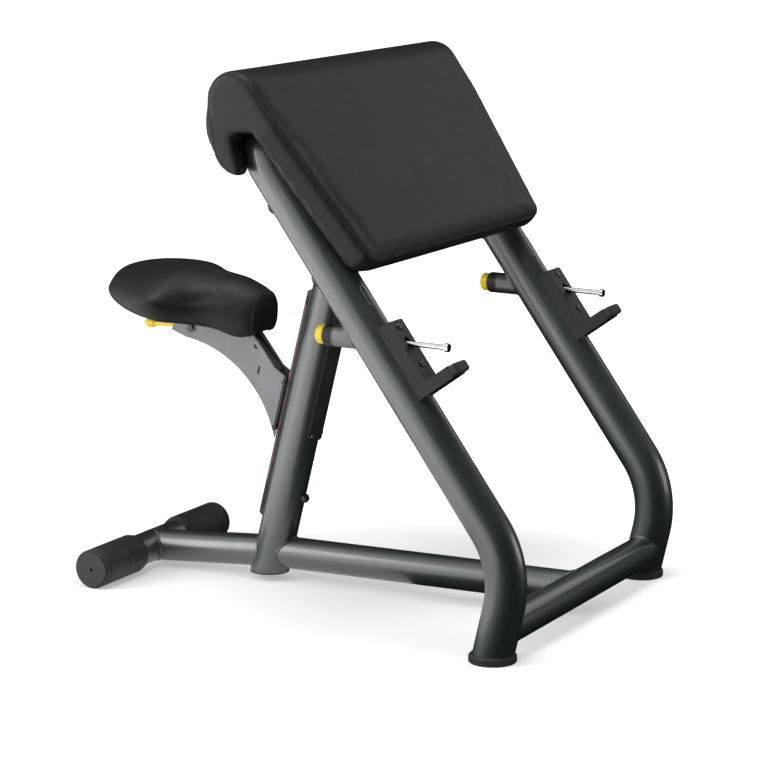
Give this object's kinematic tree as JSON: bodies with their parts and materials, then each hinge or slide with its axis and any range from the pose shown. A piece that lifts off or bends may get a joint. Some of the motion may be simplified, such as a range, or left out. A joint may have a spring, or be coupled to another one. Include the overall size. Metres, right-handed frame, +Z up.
{
  "type": "preacher curl bench",
  "caption": "Free-standing preacher curl bench: sloped arm pad with a rounded crest on bent tube legs, bar hooks with pull-pin locks, and a seat that slides on a leaning column.",
  "frame": {"origin": "on the floor, under the middle of the bench's overall box", "axes": "+X from the seat towards the bar hooks, +Y to the seated user's left, +Z up"},
  "size_m": [1.0528, 0.842, 1.0438],
  "materials": {
    "frame_paint": "dark green-grey metallic powder coat, satin",
    "bracket_paint": "silver-grey paint, satin, faintly mottled",
    "dark_paint": "charcoal paint, satin",
    "black_vinyl": "black upholstery vinyl, fine grain, semi-matt",
    "black_rubber": "moulded rubber, matt",
    "black_plastic": "moulded plastic, matt",
    "cover_plastic": "dark purple-grey plastic, fine texture",
    "chrome_rod": "polished chrome plate",
    "yellow_plastic": "bright yellow moulded plastic",
    "bare_steel": "zinc-plated steel",
    "black_steel": "black-oxide steel, satin",
    "plywood": "black-stained plywood, hidden inside the pads",
    "scale_print": "grey strip with plain red position marks"
  },
  "bodies": {
    "frame": {"left_leg": "frame_paint", "right_leg": "frame_paint", "top_bar": "frame_paint", "column": "frame_paint", "column_plug": "black_plastic", "front_crossbar": "frame_paint", "front_beam": "frame_paint", "rear_crossbar": "frame_paint", "rear_beam": "frame_paint", "left_foot": "black_rubber", "right_foot": "black_rubber", "left_rear_sleeve": "black_rubber", "right_rear_sleeve": "black_rubber", "rear_tube_plugs": "black_plastic", "arm_pad": "black_vinyl", "pad_board": "plywood", "pad_bolts": "black_steel", "pad_tee_nuts": "bare_steel", "left_bar_hook": "dark_paint", "right_bar_hook": "dark_paint", "hook_bolts": "black_steel", "left_hook_tip": "black_rubber", "right_hook_tip": "black_rubber", "left_guide_tube": "frame_paint", "right_guide_tube": "frame_paint", "left_guide_collar": "black_plastic", "right_guide_collar": "black_plastic", "left_rod_spring": "bare_steel", "right_rod_spring": "bare_steel", "seat_rail": "dark_paint", "rail_bolts": "black_steel", "rail_caps": "black_plastic", "height_scale": "scale_print", "column_cover": "cover_plastic", "cover_screws": "bare_steel"},
    "seat_carriage": {"seat_cushion": "black_vinyl", "seat_board": "plywood", "seat_mount_plate": "dark_paint", "seat_screws": "bare_steel", "left_bracket_plate": "bracket_paint", "right_bracket_plate": "bracket_paint", "guide_carrier": "dark_paint", "lower_guide_shoe": "bare_steel", "upper_guide_shoe": "bare_steel", "shoe_bolts": "black_steel", "bracket_web": "dark_paint", "bracket_spacer": "dark_paint", "lever_pivot_bolt": "black_steel", "pin_block": "dark_paint", "lock_pin_spring": "bare_steel", "release_cable": "black_plastic"},
    "release_lever": {"release_lever": "yellow_plastic"},
    "lock_pin": {"lock_pin": "bare_steel"},
    "left_rod": {"left_locking_rod": "chrome_rod", "left_pull_knob": "yellow_plastic"},
    "right_rod": {"right_locking_rod": "chrome_rod", "right_pull_knob": "yellow_plastic"}
  },
  "joints": [
    {"name": "seat_height", "type": "slide", "parent": "frame", "child": "seat_carriage", "axis": [0.2402, 0, 0.9707], "range_m": [-0.15, 0.1]},
    {"name": "release_lever_lift", "type": "hinge", "parent": "seat_carriage", "child": "release_lever", "pos_m": [-0.35307, 0, 0.494], "axis": [0, 1, 0], "range_deg": [0, 8], "stiffness_Nm_per_rad": 2, "springref_deg": -2.86},
    {"name": "lock_pin_draw", "type": "slide", "parent": "seat_carriage", "child": "lock_pin", "axis": [-0.9707, 0, 0.2402], "range_m": [0, 0.0051], "deforming": ["lock_pin_spring"]},
    {"name": "left_rod_pull", "type": "slide", "parent": "frame", "child": "left_rod", "axis": [-0.9998, 0, 0.0209], "range_m": [0, 0.05], "stiffness_N_per_m": 300, "springref_m": -0.02, "deforming": ["left_rod_spring"]},
    {"name": "right_rod_pull", "type": "slide", "parent": "frame", "child": "right_rod", "axis": [-0.9998, 0, 0.0209], "range_m": [0, 0.05], "stiffness_N_per_m": 300, "springref_m": -0.02, "deforming": ["right_rod_spring"]}
  ],
  "couplings": [
    {"joint": "lock_pin_draw", "follows": "release_lever_lift", "m_per_rad": 0.0358}
  ]
}
